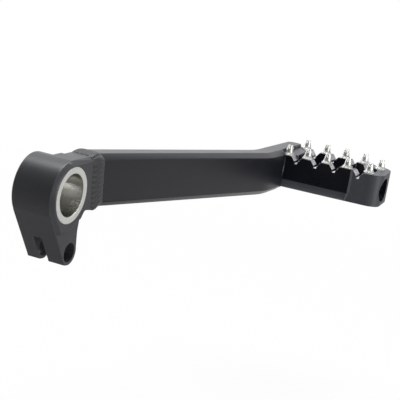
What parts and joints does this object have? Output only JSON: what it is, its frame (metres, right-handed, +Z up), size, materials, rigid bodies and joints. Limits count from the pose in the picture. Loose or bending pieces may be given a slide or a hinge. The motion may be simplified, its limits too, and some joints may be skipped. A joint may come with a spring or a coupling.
{
  "type": "motorcycle rear brake pedal",
  "caption": "Rear brake pedal: forked hub on a pivot bush, welded bevelled bar and an open cleated tip screwed to its outboard side.",
  "frame": {"origin": "centre of the pivot bush: on the axis of its bore, halfway along its length", "axes": "+X forward along the bar towards the tip, +Y inboard along the pivot's axis, +Z up with the bar level"},
  "size_m": [0.2168, 0.0513, 0.039],
  "materials": {
    "anodised_hub": "satin black anodised",
    "anodised_bar": "satin black anodised",
    "anodised_weld": "satin black anodised weld metal",
    "bush_steel": "bright plated",
    "stainless": "bright",
    "screw_steel": "dark zinc"
  },
  "bodies": {
    "root": {"hub": "anodised_hub", "bar": "anodised_bar", "weld_bead": "anodised_weld", "pivot_bush": "bush_steel", "tip_frame": "anodised_bar", "cleat_rear_1": "stainless", "cleat_rear_2": "stainless", "cleat_rear_3": "stainless", "cleat_rear_4": "stainless", "cleat_rear_5": "stainless", "cleat_front_1": "stainless", "cleat_front_2": "stainless", "cleat_front_3": "stainless", "cleat_front_4": "stainless", "cleat_front_5": "stainless", "tip_screw_rear": "screw_steel", "tip_screw_front": "screw_steel"}
  },
  "joints": []
}
